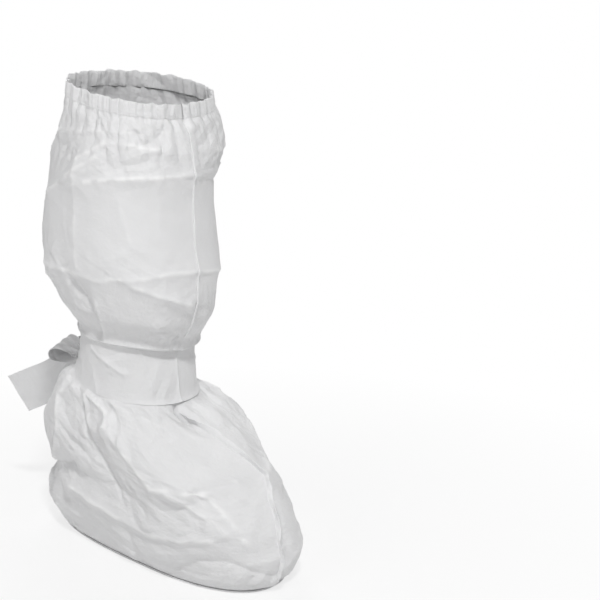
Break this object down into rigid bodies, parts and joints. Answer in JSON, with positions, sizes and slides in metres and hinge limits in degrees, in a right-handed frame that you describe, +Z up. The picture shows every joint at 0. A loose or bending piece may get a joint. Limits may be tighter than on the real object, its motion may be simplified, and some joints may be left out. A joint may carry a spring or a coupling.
{
  "type": "shoe cover",
  "caption": "Knee-high nonwoven shoe cover in its worn form: gathered hem at the calf, strap knotted behind the ankle, standing seams and a flat sewn sole.",
  "frame": {"origin": "on the inner face of the sole, under the middle of the leg, where the wearer's foot stands and holds the cover up", "axes": "+Z up along the leg, -Y towards the toe, -X towards the outer side of the foot"},
  "size_m": [0.1789, 0.4171, 0.4939],
  "materials": {
    "fabric": "embossed nonwoven, satin",
    "seam_fabric": "doubled nonwoven edge, satin",
    "strap_fabric": "embossed nonwoven, satin",
    "sole_fabric": "coated nonwoven, slightly glossy"
  },
  "bodies": {
    "root": {"side_panel_outer": "fabric", "side_panel_inner": "fabric", "sole": "sole_fabric", "elastic_hem": "fabric", "front_seam_foot": "seam_fabric", "front_seam_leg": "seam_fabric", "back_seam_foot": "seam_fabric", "back_seam_leg": "seam_fabric", "tie_band_outer": "strap_fabric", "tie_band_inner": "strap_fabric", "tie_knot": "strap_fabric", "tie_loop": "strap_fabric", "tie_end_long": "strap_fabric", "tie_end_short": "strap_fabric"}
  },
  "joints": []
}
